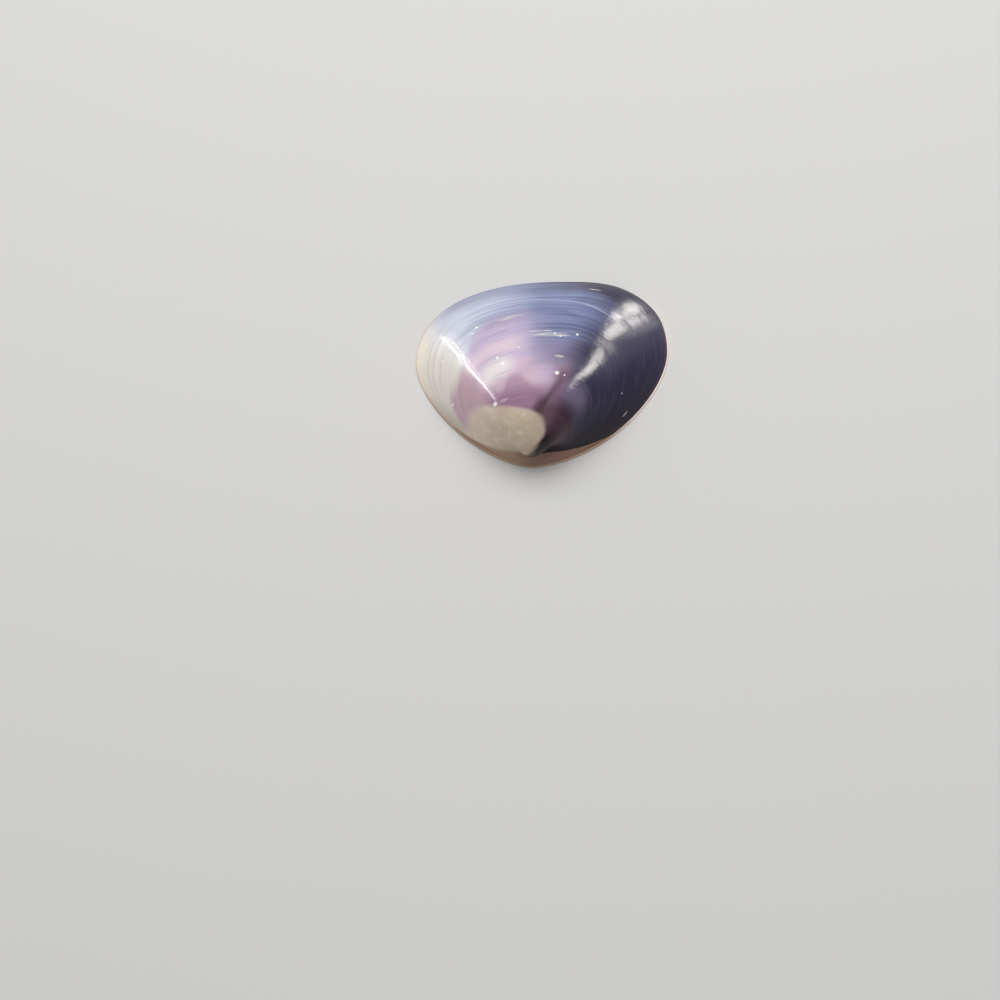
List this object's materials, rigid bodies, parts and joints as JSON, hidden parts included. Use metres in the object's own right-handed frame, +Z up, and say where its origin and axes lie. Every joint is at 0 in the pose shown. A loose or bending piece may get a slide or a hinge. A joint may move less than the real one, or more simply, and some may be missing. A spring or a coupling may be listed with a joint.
{
  "type": "freshwater clam shell",
  "caption": "One valve of a freshwater clam, a domed rounded-triangle shell lying hollow side down on its rim, with a low beak and a toothed hinge.",
  "frame": {"origin": "on the ground under the middle of the shell's bounding box", "axes": "+X along the length to the hind end, +Y from the hinge to the belly margin, +Z up through the dome"},
  "size_m": [0.07, 0.059, 0.0188],
  "materials": {
    "shell": "polished shell, violet and navy with an ivory front"
  },
  "bodies": {
    "root": {"valve": "shell"}
  },
  "joints": []
}
